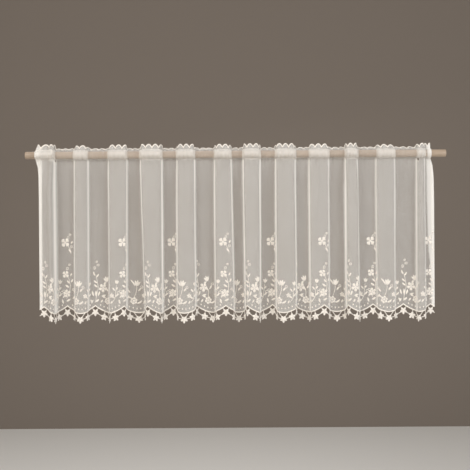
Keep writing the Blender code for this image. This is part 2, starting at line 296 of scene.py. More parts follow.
def skirt(s, h):
    x, y = fold_point(s, drop_share(h))
    return np.stack(np.broadcast_arrays(x, y, -np.asarray(h, float)), axis=-1)


def heading(s, drop):
    """The frill above the upper seam, with drop below zero for points above the seam."""
    x, y = fold_point(s, 0.0)
    at_end = smooth((s - FLAT_WIDTH + RIGHT_END_STANDS) / STANDS_UP_WITHIN)
    lean = mix(LEAN_BETWEEN_FOLDS, LEAN_AT_FOLD, np.maximum(smooth(forward_share(s)), at_end))
    inward = -LEFT_END_SLANT * drop * (1.0 - smooth(s / HEADING_VALLEY))
    return np.stack([x + inward, y - drop * np.sin(lean), SEAM_DROP - drop * np.cos(lean)], axis=-1)


def pocket_side(side):
    """The pocket's room side (-1) or wall side (1): a surface of s and f, 0 to 1 from seam to seam."""

    def surface(s, f):
        x, y = fold_point(s, 0.0)
        start = np.arctan2(side * y, SEAM_DROP)
        angle = start + (math.pi - 2.0 * start) * f
        share = forward_share(s) if side < 0 else 1.0 - forward_share(s)
        swell = np.clip(np.sin(math.pi * f), 0.0, 1.0) ** 1.5
        bulge = (FRONT_BULGE if side < 0 else BACK_BULGE) * share * swell
        radius = mix(POCKET_RADIUS, np.hypot(y, SEAM_DROP), np.cos(math.pi * f) ** 4) + bulge
        return np.stack([x, side * radius * np.sin(angle), radius * np.cos(angle)], axis=-1)

    return surface


def normals(surface, s, v):
    step = NORMAL_STEP
    along = surface(np.minimum(s + step, FLAT_WIDTH), v) - surface(np.maximum(s - step, 0.0), v)
    down = surface(s, v + step) - surface(s, v - step)
    normal = np.cross(down, along)
    return normal / np.linalg.norm(normal, axis=-1, keepdims=True)


def heading_rise(s):
    across = (s - HEADING_VALLEY) / HEADING_SCALLOP
    return HEADING_LOW + HEADING_RISE * np.abs(np.sin(math.pi * across)) ** 0.7


def hem_drop(s):
    across = ((s - FIRST_APEX) / REPEAT) % 1.0
    return APEX_DROP + SCALLOP_DEPTH * (1.0 - np.abs(2.0 * across - 1.0) ** 1.8)


def puckers(s):
    """Small uneven gathers along the seams, in metres towards the room."""
    narrow = np.sin(math.tau * s / NARROW_PUCKER + 1.7 * np.sin(math.tau * s / 0.113))
    wide = np.sin(math.tau * s / WIDE_PUCKER + 2.1 * np.sin(math.tau * s / 0.171 + 1.0))
    return PUCKER_HEIGHT * (narrow + 0.8 * wide)


def creases(s, h):
    """Height of the soft creases of the skirt, with the gathers that fade below the lower seam."""
    height = puckers(s) * np.exp(-(h - SEAM_DROP) / 0.030)
    for place, start, end, half_width, rise in np.array(CREASES, float) * MM:
        drift = 0.004 * np.sin(h / 0.11 + place * 40.0)
        across = np.exp(-(((s - place - drift) / half_width) ** 2))
        fade = smooth((h - start) / 0.03) * smooth((end - h) / 0.09 + 0.25)
        height = height + rise * across * fade
    return height


def laid(surface, s, v, lift):
    """Points of a surface at flat places, raised towards the room by lift and by its creases."""
    s_on = np.clip(s, 0.0, FLAT_WIDTH)
    out = normals(surface, s_on, v)
    if surface is skirt:
        lift = lift + creases(s_on, v)
    elif surface is heading:
        lift = lift + puckers(s_on)
    return surface(s_on, v) + np.asarray(lift)[..., None] * out


def add_mesh(name, points, faces, uv, material, values=None):
    """A mesh object from point, face and UV arrays, with point values as attributes, riding on the part."""
    data = bpy.data.meshes.new(name)
    data.from_pydata(np.asarray(points).tolist(), [], faces)
    layer = data.uv_layers.new(name="UVMap")
    corners = np.empty(len(data.loops), dtype=np.int32)
    data.loops.foreach_get("vertex_index", corners)
    layer.data.foreach_set("uv", np.asarray(uv, dtype=np.float32)[corners].ravel())
    for key, numbers in (values or {}).items():
        attribute = data.attributes.new(key, "FLOAT", "POINT")
        attribute.data.foreach_set("value", np.asarray(numbers, dtype=np.float32).ravel())
    data.shade_smooth()
    data.materials.append(material)
    made = bpy.data.objects.new(name, data)
    bpy.context.scene.collection.objects.link(made)
    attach(made, "root")
    return made


def grid_faces(rows, columns):
    index = np.arange(rows * columns).reshape(rows, columns)
    quads = np.stack([index[:-1, :-1], index[1:, :-1], index[1:, 1:], index[:-1, 1:]], axis=-1)
    return quads.reshape(-1, 4).tolist()


def towards(degrees):
    """A step of length 1 on the flat cloth, at an angle up from the width."""
    angle = math.radians(degrees)
    return np.array([math.cos(angle), -math.sin(angle)])


class Stitching:
    """Raised bands of thread on a surface, gathered into one mesh."""

    def __init__(self):
        self.points, self.uv, self.faces = [], [], []
        self.count = 0

    def band(self, surface, path, half_widths, half_heights, around=8, lift=0.0):
        """A band of elliptical section along a flat path of (s, v) points, straddling the surface."""
        path = np.asarray(path, float)
        if path[:, 0].min() < 0.0 or path[:, 0].max() > FLAT_WIDTH:
            return
        n = len(path)
        widths = np.broadcast_to(half_widths, n)
        heights = np.broadcast_to(half_heights, n)
        ahead = np.gradient(path, axis=0)
        ahead /= np.maximum(np.linalg.norm(ahead, axis=1, keepdims=True), 1e-9)
        side = np.stack([-ahead[:, 1], ahead[:, 0]], axis=1)
        turn = math.tau * np.arange(around) / around
        across = widths[:, None] * np.cos(turn)
        flat = path[:, None, :] + side[:, None, :] * across[..., None]
        raised = heights[:, None] * np.sin(turn) + lift
        placed = laid(surface, flat[..., 0], flat[..., 1], raised)
        run = np.concatenate([[0.0], np.cumsum(np.linalg.norm(np.diff(path, axis=0), axis=1))])
        self.points.append(placed.reshape(-1, 3))
        along = np.broadcast_to(run[:, None], across.shape)
        self.uv.append(np.stack([along, across], axis=-1).reshape(-1, 2))
        ring = np.arange(around)
        after = (ring + 1) % around
        for i in range(n - 1):
            a, b = self.count + i * around, self.count + (i + 1) * around
            self.faces += np.stack([a + ring, a + after, b + after, b + ring], axis=1).tolist()
        last = self.count + (n - 1) * around
        self.faces.append((self.count + ring[::-1]).tolist())
        self.faces.append((last + ring).tolist())
        self.count += n * around

    def leaf(self, surface, base, angle, length, width, bend=0.0, height=0.00045, steps=8, shape=1.0):
        """A pointed leaf or petal from its base, at an angle in degrees up from the width."""
        u = np.linspace(0.0, 1.0, steps + 1)
        heading_angle = math.radians(angle) + math.radians(bend) * (u - 0.5)
        step = length / steps
        moves = np.stack([np.cos(heading_angle), -np.sin(heading_angle)], axis=1) * step
        path = np.asarray(base) + np.concatenate([[[0.0, 0.0]], np.cumsum(moves[:-1], axis=0)])
        profile = np.sin(math.pi * u**shape) ** 0.75
        widths = 0.00025 + width / 2 * profile
        self.band(surface, path, widths, 0.00015 + height * np.sqrt(profile))

    def petals(self, surface, centre, radius, count, turn, width, height=0.0005, shape=1.6):
        """A flower of pointed petals round a raised middle."""
        for i in range(count):
            angle = turn + 360.0 / count * i
            start = np.asarray(centre) + 0.08 * radius * towards(angle)
            self.leaf(surface, start, angle, radius * 0.92, width, height=height, steps=7, shape=shape)
        self.knob(surface, centre, radius * 0.2, height * 1.9)

    def knob(self, surface, centre, radius, height):
        u = np.cos(np.linspace(math.pi, 0.0, 7))
        path = np.asarray(centre) + np.stack([u * radius, 0.0 * u], axis=1)
        profile = np.sqrt(np.maximum(1.0 - u * u, 0.004))
        self.band(surface, path, radius * profile, height * profile)

    def line(self, surface, points, half_width, half_height, step=0.0015, around=6):
        """A stem or tendril through a few flat points, on a smooth curve."""
        points = np.asarray(points, float)
        run = np.concatenate([[0.0], np.cumsum(np.linalg.norm(np.diff(points, axis=0), axis=1))])
        count = max(4, int(run[-1] / step))
        fine = np.linspace(0.0, run[-1], count)
        path = np.stack([np.interp(fine, run, points[:, i]) for i in (0, 1)], axis=1)
        for _ in range(3):
            path[1:-1] = (path[:-2] + 2.0 * path[1:-1] + path[2:]) / 4.0
        taper = 0.45 + 0.55 * np.sin(math.pi * np.linspace(0.08, 0.92, count)) ** 0.5
        self.band(surface, path, half_width * taper, half_height * taper, around)

    def curl(self, surface, centre, radius, turn, hand=1):
        """A small curled tendril."""
        t = np.linspace(0.0, 1.0, 14)
        angle = math.radians(turn) + hand * t * math.radians(430)
        r = 1.25 * radius * (1.0 - 0.72 * t)
        path = np.asarray(centre) + np.stack([r * np.cos(angle), -r * np.sin(angle)], axis=1)
        self.band(surface, path, 0.00065, 0.00035, 6)

    def made(self, name, material, slot):
        points, uv = np.concatenate(self.points), np.concatenate(self.uv)
        return add_mesh(name, points, self.faces, uv, material)


# Materials


class Nodes:
    """A new node material and short calls to fill it."""

    def __init__(self, name):
        self.material = bpy.data.materials.new(name)
        self.material.use_nodes = True
        self.tree = self.material.node_tree
        self.shader = self.tree.nodes["Principled BSDF"]
        self.output = self.tree.nodes["Material Output"]

    def node(self, kind, inputs=(), **settings):
        made = self.tree.nodes.new(kind)
        for key, value in settings.items():
            setattr(made, key, value)
        for key, value in dict(inputs).items():
            self.feed(made.inputs[key], value)
        return made

    def feed(self, socket, value):
        if isinstance(value, bpy.types.NodeSocket):
            self.tree.links.new(value, socket)
        else:
            socket.default_value = value

    def math(self, operation, a, b=0.0, c=0.0):
        return self.node("ShaderNodeMath", {0: a, 1: b, 2: c}, operation=operation).outputs[0]

    def ease(self, value, low, high, to_low=0.0, to_high=1.0):
        inputs = {"Value": value, "From Min": low, "From Max": high, "To Min": to_low, "To Max": to_high}
        return self.node("ShaderNodeMapRange", inputs, interpolation_type="SMOOTHSTEP").outputs["Result"]

    def stretched(self, vector, scale):
        return self.node("ShaderNodeMapping", {"Vector": vector, "Scale": scale}).outputs[0]

    def noise(self, vector, scale, detail=2.0, rough=0.5):
        inputs = {"Vector": vector, "Scale": scale, "Detail": detail, "Roughness": rough}
        return self.node("ShaderNodeTexNoise", inputs).outputs["Fac"]

    def bump(self, height, distance, strength=1.0):
        inputs = {"Height": height, "Distance": distance, "Strength": strength}
        self.feed(self.shader.inputs["Normal"], self.node("ShaderNodeBump", inputs).outputs["Normal"])

    def blend(self, factor, a, b):
        made = self.node("ShaderNodeMix", data_type="RGBA")
        self.feed(made.inputs["Factor"], factor)
        self.feed(made.inputs["A"], a)
        self.feed(made.inputs["B"], b)
        return made.outputs["Result"]

    def lit_through(self, colour, share):
        """The surface with a share of the light let through from behind."""
        through = self.node("ShaderNodeBsdfTranslucent", {"Color": colour}).outputs[0]
        return self.node("ShaderNodeMixShader", {0: share, 1: self.shader.outputs[0], 2: through}).outputs[0]

    def finish(self, **values):
        for key, value in values.items():
            self.feed(self.shader.inputs[key.replace("_", " ")], value)
        return self.material


def teardrops():
    """The flat middle, half width and half height of each small gap at the seam."""
    for place, half_width, half_height, drop in np.array(TEARDROPS) * MM:
        s = np.interp(place + CURTAIN_LEFT, PLAN_X[0], FINE_S)
        yield (float(s), SEAM_DROP + float(drop)), float(half_width), float(half_height)


def net_material():
    """Fine open net: threads both ways, clear between them, and closer where the point values say so."""
    nodes = Nodes("net")
    uv = nodes.node("ShaderNodeTexCoord").outputs["UV"]
    split = nodes.node("ShaderNodeSeparateXYZ", {"Vector": uv})
    wander = nodes.noise(uv, 120.0)
    threads = []
    for axis, push in (("X", 0.25), ("Y", 0.3)):
        pushed = nodes.math("MULTIPLY", wander, push)
        place = nodes.math("MULTIPLY_ADD", split.outputs[axis], 1.0 / WEAVE_PITCH, pushed)
        wave = nodes.math("PINGPONG", place, 0.5)
        threads.append(nodes.ease(wave, 0.10, 0.20, 1.0, 0.0))
    weave = nodes.math("MAXIMUM", threads[0], threads[1])
    dense = nodes.node("ShaderNodeAttribute", attribute_name="dense").outputs["Fac"]
    slubs = nodes.noise(nodes.stretched(uv, (900.0, 25.0, 1.0)), 1.0)
    solid = nodes.math("MULTIPLY_ADD", nodes.ease(slubs, 0.35, 0.65), 0.10, 0.67)
    solid = nodes.math("ADD", solid, nodes.math("MINIMUM", dense, 0.0))
    opacity = nodes.math("MAXIMUM", nodes.math("MULTIPLY", weave, solid), dense)
    for (s, h), half_width, half_height in teardrops():
        v = HEADING_FLAT + POCKET_FLAT + h - SEAM_DROP
        wide = nodes.math("MULTIPLY_ADD", split.outputs["X"], 1.0 / half_width, -s / half_width)
        high = nodes.math("MULTIPLY_ADD", split.outputs["Y"], 1.0 / half_height, -v / half_height)
        spread = nodes.math("ADD", nodes.math("MULTIPLY", wide, wide), nodes.math("MULTIPLY", high, high))
        opacity = nodes.math("MULTIPLY", opacity, nodes.ease(spread, 0.75, 1.0))
    tone = nodes.noise(uv, 9.0, 3.0)
    colour = nodes.blend(tone, (0.86, 0.83, 0.785, 1.0), (0.93, 0.905, 0.87, 1.0))
    nodes.bump(weave, 0.00012, 0.6)
    nodes.finish(
        Base_Color=colour, Roughness=0.62, Specular_IOR_Level=0.25, Sheen_Weight=0.2, Sheen_Roughness=0.4
    )
    cloth = nodes.lit_through(colour, 0.25)
    clear = nodes.node("ShaderNodeBsdfTransparent").outputs[0]
    whole = nodes.node("ShaderNodeMixShader", {0: opacity, 1: clear, 2: cloth}).outputs[0]
    nodes.feed(nodes.output.inputs["Surface"], whole)
    return nodes.material


# Colour of the thread on its stitch crowns, with painted light; the shade given to thread_material is painted
# shade in the grooves and the parting
THREAD_PAINTED_LIGHT = (0.94, 0.885, 0.82, 1.0)


def thread_material(name, pitch, slant, shade, vein):
    """Satin stitches side by side across a band, with a parting along its middle as deep as vein says. The
    colour runs from shade, painted shade in the grooves between stitches and in the parting, to painted light
    on the stitch crowns, with random tone mixed in.
    """
    nodes = Nodes(name)
    uv = nodes.node("ShaderNodeTexCoord").outputs["UV"]
    split = nodes.node("ShaderNodeSeparateXYZ", {"Vector": uv})
    away = nodes.math("ABSOLUTE", split.outputs["Y"])
    place = nodes.math("MULTIPLY_ADD", away, slant, split.outputs["X"])
    wander = nodes.math("MULTIPLY", nodes.noise(uv, 350.0), 0.5)
    wave = nodes.math("PINGPONG", nodes.math("MULTIPLY_ADD", place, 1.0 / pitch, wander), 0.5)
    rounds = nodes.ease(wave, 0.0, 0.5)
    parting = nodes.ease(away, 0.0, 0.0005, 1.0 - vein, 1.0)
    height = nodes.math("MULTIPLY", rounds, parting)
    uneven = nodes.noise(uv, 60.0, 3.0)
    # Colour from stitch height: painted shade in the grooves and the parting, painted light on the crowns,
    # with random tone from the noise
    tone = nodes.math("MULTIPLY_ADD", height, 0.6, nodes.math("MULTIPLY", uneven, 0.4))
    colour = nodes.blend(tone, shade, THREAD_PAINTED_LIGHT)
    nodes.bump(height, 0.00022, 0.8)
    nodes.finish(
        Base_Color=colour, Roughness=0.5, Specular_IOR_Level=0.35, Sheen_Weight=0.25, Sheen_Roughness=0.35
    )
    nodes.feed(nodes.output.inputs["Surface"], nodes.lit_through(colour, 0.15))
    return nodes.material


def wood_material():
    """Pale planed dowel: grain and fine pores along its length."""
    nodes = Nodes("rod wood")
    place = nodes.node("ShaderNodeTexCoord").outputs["Object"]
    grain = nodes.noise(nodes.stretched(place, (3.0, 120.0, 120.0)), 1.0, 4.0, 0.6)
    pores = nodes.noise(nodes.stretched(place, (40.0, 1400.0, 1400.0)), 1.0, 2.0, 0.7)
    band = nodes.ease(grain, 0.35, 0.7)
    base = nodes.blend(band, (0.33, 0.255, 0.188, 1.0), (0.245, 0.18, 0.128, 1.0))
    pore = nodes.ease(pores, 0.58, 0.72)
    colour = nodes.blend(nodes.math("MULTIPLY", pore, 0.45), base, (0.17, 0.115, 0.078, 1.0))
    roughness = nodes.ease(grain, 0.3, 0.7, 0.42, 0.58)
    nodes.bump(nodes.math("SUBTRACT", band, pore), 0.00012, 0.5)
    return nodes.finish(Base_Color=colour, Roughness=roughness, Specular_IOR_Level=0.4)


def plain_material(name, colour, roughness):
    return Nodes(name).finish(Base_Color=(*colour, 1.0), Roughness=roughness)


# Pieces


def net_columns():
    """Places of the net's columns on the folds, how far each lies behind them, and its flat place."""
    on = np.linspace(0.0, FLAT_WIDTH, COLUMNS * COLUMNS_FINE + 1)
    turned = np.array([1.0, 0.75, 0.5, 0.25, 0.06]) * SIDE_HEM
    s = np.concatenate([turned, on, FLAT_WIDTH - turned[::-1]])
    hem = np.full_like(turned, HEM_LAYER_GAP)
    behind = np.concatenate([hem, np.zeros_like(on), hem])
    flat = np.concatenate([-turned, on, FLAT_WIDTH + turned[::-1]])
    return s, behind, flat


def wall_share(s, t):
    """1 on the middle of each fold's walls, where the cloth runs nearly straight towards the room."""
    s, t = np.broadcast_arrays(s, t)
    x = fold_point(s, t)[0] - CURTAIN_LEFT
    share = np.zeros_like(x)
    for left_rod, right_rod, left_hem, right_hem, depth in np.array(FOLDS) * MM:
        strength = mix(0.75, 1.0, depth / 0.028)
        on_left = strength if depth > RIDGE_DEPTH else 0.0
        for at_rod, at_hem, most in ((left_rod, left_hem, on_left), (right_rod, right_hem, strength)):
            near = np.exp(-(((x - mix(at_rod, at_hem, t)) / WALL_LINE) ** 2))
            share = np.maximum(share, near * most)
    return share


def side_share(s, flat, t):
    """How closed the side hems look: a narrow band at the left and all that lies past BANDS at the right."""
    x = fold_point(np.clip(s, 0.0, FLAT_WIDTH), t)[0] - CURTAIN_LEFT
    drops, starts = np.array(BANDS).T
    start = np.interp(np.mean(t), drops, starts) * MM
    right = smooth((x - start) / 0.0025 + 0.5)
    left = smooth((LEFT_BAND[1] - x) / 0.0015 + 0.5) * smooth((x - LEFT_BAND[0]) / 0.0015 + 0.5)
    turned = smooth((SIDE_HEM - flat) / 0.002 + 0.5)
    return np.maximum(np.maximum(LEFT_CLOSED * left, TURNED_CLOSED * turned), RIGHT_CLOSED * right)


def build_net(material):
    s, behind, flat = net_columns()
    points, uv, dense = [], [], []
    top = heading_rise(s)
    for row in range(HEADING_ROWS):
        drop = -top * (1.0 - row / HEADING_ROWS)
        points.append(laid(heading, s, drop, -behind))
        uv.append(np.stack([flat, HEADING_FLAT + drop], axis=1))
        dense.append(np.maximum(HEADING_CLOSED, side_share(s, flat, 0.0)))
    front = pocket_side(-1)
    for row in range(POCKET_ROWS):
        f = np.full_like(s, row / POCKET_ROWS)
        swell = puckers(s) * mix(1.0, 0.7, math.sin(math.pi * row / POCKET_ROWS))
        points.append(laid(front, s, f, swell - behind))
        uv.append(np.stack([flat, HEADING_FLAT + POCKET_FLAT * f], axis=1))
        closed = mix(THIN_OVER_ROD, CLOSED_IN_PUFFS, smooth(3.0 * forward_share(s)))
        side = side_share(s, flat, 0.0)
        dense.append(np.where(side > 0.02, np.maximum(closed, side), closed))
    bottom = hem_drop(s) + TUCK_INTO_CORD
    for row in range(SKIRT_ROWS + 1):
        h = mix(SEAM_DROP, bottom, row / SKIRT_ROWS)
        points.append(laid(skirt, s, h, -behind))
        uv.append(np.stack([flat, HEADING_FLAT + POCKET_FLAT + h - SEAM_DROP], axis=1))
        t = drop_share(h)
        wall = wall_share(s, t)
        forward = smooth((BACK_BELOW - fold_point(s, t)[1]) / 0.012)
        thin = BACK_THINNER * (1.0 - forward) * np.clip(1.0 - 4.0 * wall, 0.0, 1.0)
        side = side_share(s, flat, t)
        dense.append(np.where(side > 0.02, np.maximum(side, WALL_CLOSED * wall), WALL_CLOSED * wall + thin))
    points = np.concatenate(points)
    values = {"dense": np.concatenate(dense)}
    faces = grid_faces(HEADING_ROWS + POCKET_ROWS + SKIRT_ROWS + 1, len(s))
    net = add_mesh("net_curtain", points, faces, np.concatenate(uv), material, values)
    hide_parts("panel")
    return net


def build_pocket_back(material):
    """The strip behind the rod that closes the pocket."""
    s, behind, flat = net_columns()
    back = pocket_side(1)
    points, uv = [], []
    for row in range(POCKET_ROWS + 1):
        f = np.full_like(s, row / POCKET_ROWS)
        inward = puckers(s) * mix(1.0, 0.7, math.sin(math.pi * row / POCKET_ROWS)) + behind
        points.append(laid(back, s, f, inward))
        uv.append(np.stack([flat, POCKET_FLAT * f], axis=1))
    values = {"dense": np.full(len(s) * (POCKET_ROWS + 1), POCKET_BACK_CLOSED)}
    faces = grid_faces(POCKET_ROWS + 1, len(s))
    points, uv = np.concatenate(points), np.concatenate(uv)
    strip = add_mesh("pocket_back", points, faces, uv, material, values)
    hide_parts("panel")
    return strip


def build_heading_rim(material):
    """The satin edge that follows the heading's small scallops."""
    stitching = Stitching()
    s = np.linspace(0.0008, FLAT_WIDTH - 0.0008, 9 * COLUMNS + 1)
    path = np.stack([s, -(heading_rise(s) - 0.0011)], axis=1)
    stitching.band(heading, path, 0.0015, 0.00055, 8)
    rim = stitching.made("heading_rim", material, "lace")
    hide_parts("panel")
    return rim


def build_seams(material):
    """Running stitches that close the pocket above and below the rod, and the stitches of the side hems."""
    stitching = Stitching()

    def stitch(surface, s, v):
        path = np.stack(np.broadcast_arrays(s, v), axis=1)
        stitching.band(surface, path, STITCH_HALF_WIDTH, STITCH_HALF_HEIGHTS, 6, lift=STITCH_LIFT)

    start = 0.0015
    while start + STITCH_LENGTH < FLAT_WIDTH:
        s = np.linspace(start, start + STITCH_LENGTH, 4)
        stitch(heading, s, -STITCH_FROM_SEAM)
        stitch(skirt, s, SEAM_DROP + STITCH_FROM_SEAM)
        start += STITCH_LENGTH + STITCH_GAP
    for edge in (SIDE_HEM - 0.001, FLAT_WIDTH - SIDE_HEM + 0.001):
        drop = 0.016
        while drop + STITCH_LENGTH < APEX_DROP:
            stitch(skirt, edge, np.linspace(drop, drop + STITCH_LENGTH, 4))
            drop += STITCH_LENGTH + STITCH_GAP
    for centre, half_width, half_height in teardrops():
        turn = np.linspace(0.0, math.tau, 25)
        narrow = 1.0 - 0.35 * np.sin(turn)
        across = (half_width + 0.0005) * np.cos(turn) * narrow
        down = (half_height + 0.0005) * np.sin(turn) * (1.0 + 0.25 * np.maximum(np.sin(turn), 0.0))
        stitching.band(skirt, np.asarray(centre) + np.stack([across, down], axis=1), 0.0005, 0.0004, 6)
    seams = stitching.made("seam_stitches", material, "lace")
    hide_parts("panel")
    return seams


# Embroidery of one repeat of two scallops, in millimetres and degrees: place along the width from the point
# under its tall spray, drop below the rod, and then what each table says

# angle of one petal, radius, petals
FLOWERS = (
    (-5, 214, 49, 11.5, 4),
    (-4.5, 292, 52, 9.2, 4),
    (-1, 339, 30, 10.0, 5),
    (58, 345, 18, 5.8, 5),
    (110, 326, 54, 11.0, 5),
    (147, 344, 90, 6.2, 5),
)
# radius
ROSES = ((33, 358, 8.8), (123, 358, 8.8))
# angle, length
TULIPS = ((40, 314, 75, 15.5), (121, 304, 110, 14), (74, 316, 95, 11), (160, 310, 80, 11))
# angle, length, width, bend
LEAVES = (
    (10, 217, 62, 8, 3.2, 10),
    (11, 238, 130, 11, 3.4, -20),
    (8, 296, 62, 8, 3.2, 15),
    (10, 312, 66, 10, 3.8, 20),
    (6, 314, 132, 10, 3.8, -20),
    (5, 324, 146, 12, 4.4, -25),
    (-3, 358, 28, 12, 4.4, 25),
    (-10, 362, 112, 10, 3.6, -20),
    (14, 352, 48, 11, 4.0, 25),
    (25, 338, 128, 10, 3.6, -25),
    (36, 322, 128, 20, 3.6, 40),
    (44, 334, 52, 10, 3.8, 25),
    (40, 364, 34, 15, 4.2, 70),
    (27, 351, 150, 10, 3.6, -30),
    (68, 352, 140, 11, 3.8, -25),
    (70, 348, 44, 12, 3.8, 25),
    (69, 336, 128, 10, 3.4, -20),
    (71, 334, 54, 9, 3.4, 20),
    (56, 365, 62, 9, 3.4, 20),
    (80, 364, 60, 10, 3.6, -20),
    (89, 296, 106, 11, 3.2, -20),
    (93, 300, 58, 11, 3.2, 20),
    (95, 314, 138, 11, 3.8, -25),
    (96, 324, 140, 11, 3.8, -25),
    (86, 346, 108, 14, 4.2, -10),
    (92, 347, 90, 15, 4.2, 0),
    (97, 346, 70, 13, 4.2, 10),
    (90, 360, 36, 12, 4.4, 25),
    (84, 362, 128, 10, 3.8, -20),
    (106, 346, 18, 12, 4.2, 30),
    (112, 318, 60, 8, 3.2, 0),
    (128, 364, 30, 16, 4.2, 70),
    (117, 350, 152, 10, 3.6, -30),
    (104, 362, 58, 9, 3.6, 20),
    (126, 330, 60, 11, 3.8, 25),
    (124, 334, 128, 9, 3.4, -20),
    (155, 350, 140, 11, 3.8, -25),
    (157, 346, 44, 11, 3.8, 25),
    (156, 332, 128, 10, 3.4, -20),
    (158, 330, 52, 9, 3.4, 20),
    (144, 364, 60, 9, 3.4, 20),
    (170, 364, 112, 10, 3.6, -20),
    (168, 350, 60, 10, 3.6, 20),
)
# the points that each stem runs through
STEMS = (
    ((10, 242), (8, 231), (2, 221)),
    ((-2, 352), (6, 336), (8, 318), (4, 302), (-2, 294)),
    ((33, 352), (38, 340), (41, 328), (40, 318)),
    ((62, 362), (70, 352), (71, 336), (73, 322)),
    ((90, 362), (93, 346), (98, 326), (95, 308), (91, 292)),
    ((123, 352), (124, 338), (120, 326), (114, 320)),
    ((114, 320), (117, 314), (120, 309)),
    ((148, 362), (156, 350), (158, 332), (160, 318)),
)
# radius, angle where it starts, and the way it turns
CURLS = (
    (2, 201, 3.4, 200, 1),
    (7, 194, 2.6, 20, -1),
    (12, 224, 3.0, 250, -1),
    (0, 277, 3.4, 220, 1),
    (5, 268, 2.6, 30, -1),
    (-15, 338, 4.6, 300, 1),
    (17, 330, 3.4, 220, -1),
    (52, 324, 3.4, 240, 1),
    (88, 276, 3.4, 240, 1),
    (98, 270, 3.2, 210, -1),
    (94, 262, 2.4, 30, 1),
    (134, 318, 3.4, 240, -1),
    (170, 334, 3.6, 300, 1),
)
EYELET_DOTS = np.linspace(0.15, 0.85, 8)  # places across a scallop


def build_embroidery(material):
    """Satin-stitched sprays that repeat every two scallops, on both faces of the net."""
    stitching = Stitching()

    def at(origin, along, drop):
        return np.array([origin + along * MM, drop * MM])

    origins = FIRST_APEX + REPEAT * np.arange(-1, FLAT_WIDTH / REPEAT, 2)
    for origin in origins:
        for along, drop, turn, radius, count in FLOWERS:
            width = radius * (0.86 if count == 4 else 0.66) * MM
            stitching.petals(skirt, at(origin, along, drop), radius * MM, count, turn, width)
        for along, drop, radius in ROSES:
            rose(stitching, at(origin, along, drop), radius * MM)
        for along, drop, angle, size in TULIPS:
            for spread, share in ((-28, 0.92), (0, 1.0), (28, 0.92)):
                base = at(origin, along, drop + size / 2)
                stitching.leaf(skirt, base, angle + spread, size * share * MM, size * 0.34 * MM, shape=0.8)
        for along, drop, angle, length, width, bend in LEAVES:
            stitching.leaf(skirt, at(origin, along, drop), angle, length * MM, width * MM, bend)
        for stem in STEMS:
            stitching.line(skirt, [at(origin, *point) for point in stem], 0.0007, 0.0004)
        for along, drop, radius, turn, hand in CURLS:
            stitching.curl(skirt, at(origin, along, drop), radius * MM, turn, hand)
    for scallop in range(-1, COLUMNS // COLUMNS_PER_REPEAT + 1):
        for share in EYELET_DOTS:
            s = FIRST_APEX + REPEAT * (scallop + share)
            base = np.array([s, float(hem_drop(s)) - 0.0052])
            stitching.leaf(skirt, base, 90, 0.0046, 0.0028, height=0.0006, steps=5)
    embroidery = stitching.made("embroidery", material, "lace")
    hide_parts("panel")
    return embroidery


def rose(stitching, centre, radius):
    """A round rose: a ring of six broad petals and a raised heart."""
    for i in range(6):
        angle = math.degrees(math.tau * i / 6 + 0.3)
        middle = centre + 0.62 * radius * towards(angle)
        across = angle + 90.0
        reach = radius * 0.78
        base = middle - reach / 2 * towards(across)
        stitching.leaf(skirt, base, across, reach, radius * 0.62, bend=40, steps=6)
    stitching.knob(skirt, centre, radius * 0.34, 0.0008)


def cord_middle(s):
    """Drop of the middle of the satin cord below the net's cut edge."""
    slope = (hem_drop(s + SLOPE_REACH) - hem_drop(s - SLOPE_REACH)) / (2 * SLOPE_REACH)
    steep = np.minimum(np.sqrt(1.0 + slope**2), MOST_STEEP)
    return hem_drop(s) + SEAM_GAP + CORD_WIDTH / 2 * steep


def star_places():
    """Flat centre, tip angle and cord bars of every star, from the left."""
    for repeat in range(-1, COLUMNS // COLUMNS_PER_REPEAT + 1):
        apex = FIRST_APEX + repeat * REPEAT
        for along, drop, tip, bars in STARS:
            yield np.array([apex + along * MM, APEX_DROP + drop * MM]), tip, bars


STAR_RADII = np.array([0.3, 1.8, 3.4, 5.0, 6.4, 7.6, 8.7, 9.5]) * MM
STAR_HALF_WIDTHS = np.array([1.5, 2.2, 2.8, 3.0, 2.75, 2.1, 1.15, 0.2]) * MM


def build_edging(material):
    """Star flowers, twisted bars and the satin cord that they hang from."""
    stitching = Stitching()
    s = np.linspace(0.0002, FLAT_WIDTH - 0.0002, 5 * COLUMNS + 1)
    stitching.band(skirt, np.stack([s, cord_middle(s)], axis=1), CORD_WIDTH / 2, 0.0008, 10)
    before = None
    for centre, tip, bars in star_places():
        for i in range(5):
            path = centre + STAR_RADII[:, None] * towards(tip + 72 * i)
            heights = 0.00085 * np.sqrt(STAR_HALF_WIDTHS / STAR_HALF_WIDTHS.max())
            clipped_band(stitching, path, STAR_HALF_WIDTHS, heights)
        if 0.002 < centre[0] < FLAT_WIDTH - 0.002:
            stitching.knob(skirt, centre, 0.0019, 0.0016)
        for degrees in bars:
            direction = towards(degrees)
            reach = 0.0
            while (centre + direction * reach)[1] > cord_middle((centre + direction * reach)[0]):
                reach += 0.0003
            run = np.linspace(0.0, reach, 9)
            clipped_band(stitching, centre + run[:, None] * direction, BAR_HALF_WIDTH, BAR_HALF_HEIGHT)
        if before is not None:
            run = np.linspace(0.0, 1.0, 11)[:, None]
            clipped_band(stitching, before + (centre - before) * run, BAR_HALF_WIDTH, BAR_HALF_HEIGHT)
        before = centre
    edging = stitching.made("lace_stars", material, "lace")
    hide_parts("lace_edging")
    return edging


def clipped_band(stitching, path, half_widths, half_heights):
    """A band on the skirt, cut off where it would pass the panel's side edges."""
    inside = (path[:, 0] >= 0.0) & (path[:, 0] <= FLAT_WIDTH)
    if inside.sum() < 3:
        return
    widths = np.broadcast_to(half_widths, len(path))[inside]
    heights = np.broadcast_to(half_heights, len(path))[inside]
    stitching.band(skirt, path[inside], widths, heights)


